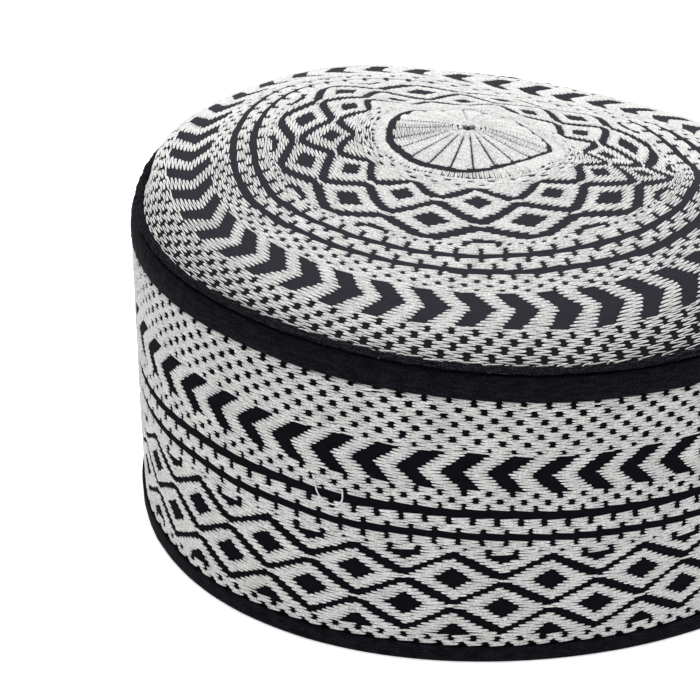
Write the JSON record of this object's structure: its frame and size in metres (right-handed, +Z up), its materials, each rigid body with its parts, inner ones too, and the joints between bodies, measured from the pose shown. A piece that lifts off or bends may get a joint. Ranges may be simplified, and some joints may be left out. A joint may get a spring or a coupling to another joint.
{
  "type": "kufi cap",
  "caption": "Round brimless cloth cap with an upright embroidered wall, a low domed crown and black bindings at seam and hem.",
  "frame": {"origin": "under the middle of the cap's box, on the plane that the hem stands on", "axes": "+Z up from the hem to the crown, -Y to the front of the cap"},
  "size_m": [0.192, 0.1816, 0.1092],
  "materials": {
    "embroidered_cloth": "matte",
    "binding_cloth": "matte",
    "piping_cloth": "matte"
  },
  "bodies": {
    "root": {"crown": "embroidered_cloth", "side_wall": "embroidered_cloth", "top_binding": "binding_cloth", "crown_piping": "piping_cloth", "hem_binding": "binding_cloth"}
  },
  "joints": []
}
